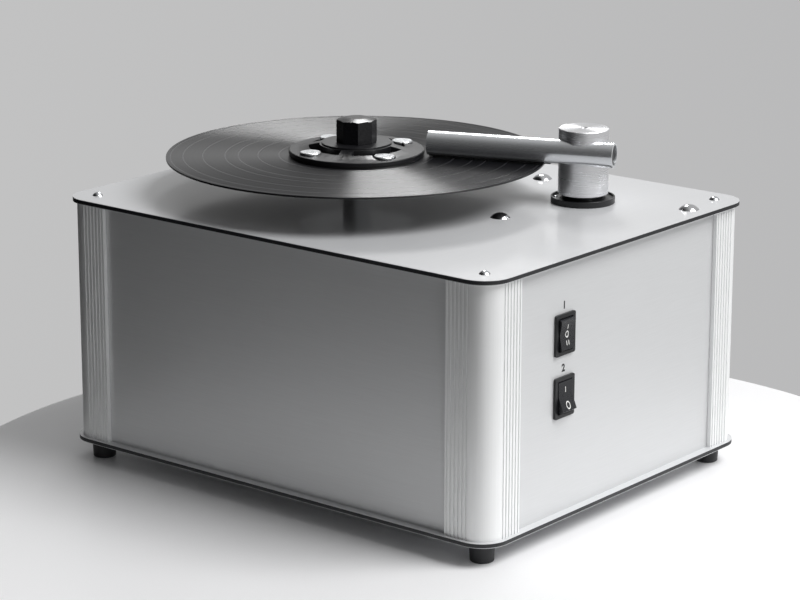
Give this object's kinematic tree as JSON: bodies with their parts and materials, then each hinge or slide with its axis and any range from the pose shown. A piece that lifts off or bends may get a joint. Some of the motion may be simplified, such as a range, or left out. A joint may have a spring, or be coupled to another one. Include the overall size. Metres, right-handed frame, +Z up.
{
  "type": "record cleaning machine",
  "caption": "Free-standing record cleaning machine: a silver box with a driven spindle, screw-down record clamp, tubular suction arm that lifts and swivels, and rocker switches.",
  "frame": {"origin": "middle of the floor rectangle under the box, level with the soles of the feet", "axes": "+X to the right seen from the switch panel, +Y from the switch panel to the rear panel, +Z up"},
  "size_m": [0.339, 0.426, 0.2777],
  "materials": {
    "foot_rubber": "matt black moulded rubber",
    "screw_steel": "bright plated steel",
    "composite_core": "black plastic core of a composite sheet",
    "composite_skin": "satin silver aluminium skin",
    "post_aluminium": "clear anodised extrusion",
    "panel_aluminium": "satin anodised sheet",
    "bearing_aluminium": "machined aluminium",
    "bearing_bronze": "sintered bronze",
    "machined_steel": "ground and plated steel",
    "gearbox_casting": "die-cast aluminium",
    "motor_paint": "dark painted steel",
    "capacitor_can": "drawn aluminium can",
    "collar_plastic": "black turned acetal",
    "seal_rubber": "black nitrile rubber",
    "tank_plastic": "natural moulded plastic",
    "drain_plastic": "black moulded plastic",
    "switch_plastic": "black moulded plastic",
    "rocker_plastic": "semi-gloss black moulded plastic",
    "terminal_brass": "stamped brass",
    "column_aluminium": "turned aluminium",
    "mat_rubber": "thin black rubber",
    "record_vinyl": "pressed black vinyl with fine grooves",
    "clamp_plastic": "fine-textured black moulded plastic",
    "stud_aluminium": "satin silver screw heads",
    "lift_tube_plastic": "black turned acetal",
    "head_aluminium": "turned and satin finished aluminium",
    "arm_chrome": "polished tube",
    "plug_plastic": "black moulded plastic",
    "strip_velvet": "black velvet"
  },
  "bodies": {
    "chassis": {"front_left_foot": "foot_rubber", "front_right_foot": "foot_rubber", "rear_left_foot": "foot_rubber", "rear_right_foot": "foot_rubber", "bottom_corner_screws": "screw_steel", "bottom_plate_core": "composite_core", "bottom_plate_skins": "composite_skin", "front_left_post": "post_aluminium", "front_right_post": "post_aluminium", "rear_left_post": "post_aluminium", "rear_right_post": "post_aluminium", "front_panel": "panel_aluminium", "rear_panel": "panel_aluminium", "left_panel": "panel_aluminium", "right_panel": "panel_aluminium", "top_plate_core": "composite_core", "top_plate_skins": "composite_skin", "top_corner_screws": "screw_steel", "tank_bolts": "screw_steel", "bearing_housing": "bearing_aluminium", "bearing_bushes": "bearing_bronze", "bracket_standoffs": "machined_steel", "motor_bracket": "machined_steel", "gearbox": "gearbox_casting", "drive_motor": "motor_paint", "run_capacitor": "capacitor_can", "collar": "collar_plastic", "collar_screws": "screw_steel", "collar_seal": "seal_rubber", "guide_bush": "collar_plastic", "separator_tank": "tank_plastic", "tank_gasket": "seal_rubber", "drain_spigot": "drain_plastic", "fan_housing": "tank_plastic", "vacuum_motor": "motor_paint", "air_hose": "seal_rubber", "motor_switch_body": "switch_plastic", "vacuum_switch_body": "switch_plastic", "switch_terminals": "terminal_brass", "mains_inlet": "switch_plastic", "inlet_screws": "screw_steel"},
    "turntable": {"spindle_shaft": "machined_steel", "spindle_column": "column_aluminium", "support_disc": "column_aluminium", "support_mat": "mat_rubber", "record": "record_vinyl"},
    "clamp": {"clamp_disc": "clamp_plastic", "clamp_studs": "stud_aluminium", "clamp_seal": "seal_rubber"},
    "knob": {"clamp_knob": "clamp_plastic"},
    "arm_column": {"lift_tube": "lift_tube_plastic"},
    "arm": {"arm_head": "head_aluminium", "arm_tube": "arm_chrome", "arm_end_plugs": "plug_plastic", "velvet_strips": "strip_velvet"},
    "motor_rocker": {"motor_rocker": "rocker_plastic"},
    "vacuum_rocker": {"vacuum_rocker": "rocker_plastic"},
    "impeller": {"impeller": "tank_plastic"},
    "drain_cap": {"drain_cap": "drain_plastic"},
    "fuse_drawer": {"fuse_drawer": "switch_plastic"}
  },
  "joints": [
    {"name": "turntable_spin", "type": "hinge", "parent": "chassis", "child": "turntable", "pos_m": [-0.01332, 0.03911, 0.216], "axis": [0, 0, 1], "continuous": true},
    {"name": "clamp_lift", "type": "slide", "parent": "turntable", "child": "clamp", "axis": [0, 0, 1], "range_m": [0, 0.06]},
    {"name": "knob_turn", "type": "hinge", "parent": "clamp", "child": "knob", "pos_m": [-0.01332, 0.03911, 0.258], "axis": [0, 0, 1], "continuous": true},
    {"name": "arm_lift", "type": "slide", "parent": "chassis", "child": "arm_column", "axis": [0, 0, 1], "range_m": [0, 0.012]},
    {"name": "arm_swivel", "type": "hinge", "parent": "arm_column", "child": "arm", "pos_m": [0.0775, -0.1163, 0.2228], "axis": [0, 0, 1], "range_deg": [-100, 0]},
    {"name": "motor_switch_rock", "type": "hinge", "parent": "chassis", "child": "motor_rocker", "pos_m": [-0.0704, -0.2052, 0.157], "axis": [1, 0, 0], "range_deg": [-12, 12]},
    {"name": "vacuum_switch_rock", "type": "hinge", "parent": "chassis", "child": "vacuum_rocker", "pos_m": [-0.0704, -0.2052, 0.109], "axis": [1, 0, 0], "range_deg": [0, 24]},
    {"name": "impeller_spin", "type": "hinge", "parent": "chassis", "child": "impeller", "pos_m": [0.09, 0.115, 0.07], "axis": [0, 0, 1], "continuous": true},
    {"name": "drain_cap_turn", "type": "hinge", "parent": "chassis", "child": "drain_cap", "pos_m": [0.1627, -0.1163, 0.109], "axis": [1, 0, 0], "continuous": true},
    {"name": "fuse_drawer_slide", "type": "slide", "parent": "chassis", "child": "fuse_drawer", "axis": [0, 1, 0], "range_m": [0, 0.018]}
  ]
}
